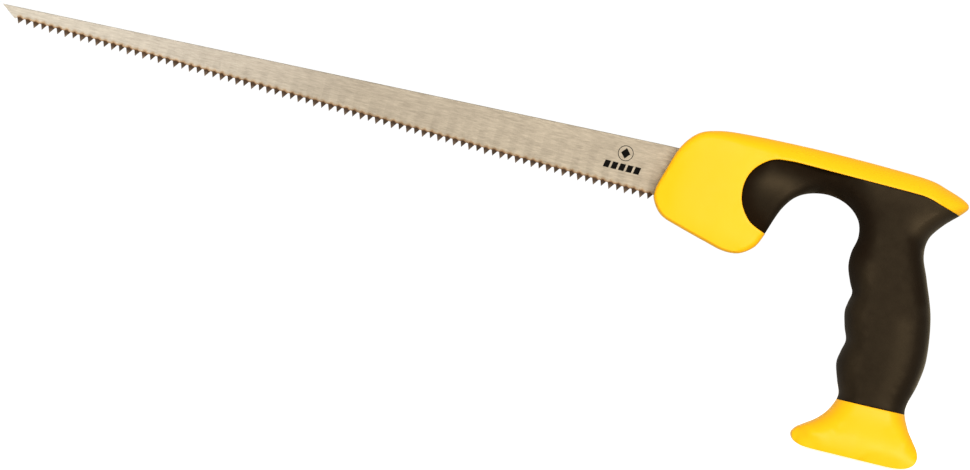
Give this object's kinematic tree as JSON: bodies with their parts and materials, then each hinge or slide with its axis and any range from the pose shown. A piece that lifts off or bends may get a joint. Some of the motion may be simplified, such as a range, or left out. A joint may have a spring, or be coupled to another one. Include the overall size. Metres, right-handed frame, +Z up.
{
  "type": "drywall saw",
  "caption": "Hand saw for plasterboard: a tapered, set-toothed steel blade in an open plastic handle with a soft, finger-contoured grip and a flared butt.",
  "frame": {"origin": "centre of the flat butt under the grip", "axes": "+X along the blade from its tip to the handle's tail, +Y across the thickness from the left side to the right, +Z up along the grip from the butt"},
  "size_m": [0.4427, 0.0344, 0.1297],
  "materials": {
    "blade_steel": "fine lengthwise grain, dark hardened teeth",
    "handle_plastic": "smooth moulded, semi-gloss",
    "grip_rubber": "matte soft-touch",
    "pin_steel": "turned"
  },
  "bodies": {
    "root": {"blade": "blade_steel", "handle_shell_left": "handle_plastic", "handle_shell_right": "handle_plastic", "soft_grip": "grip_rubber", "tang_pin_front": "pin_steel", "tang_pin_middle": "pin_steel", "tang_pin_rear": "pin_steel"}
  },
  "joints": []
}
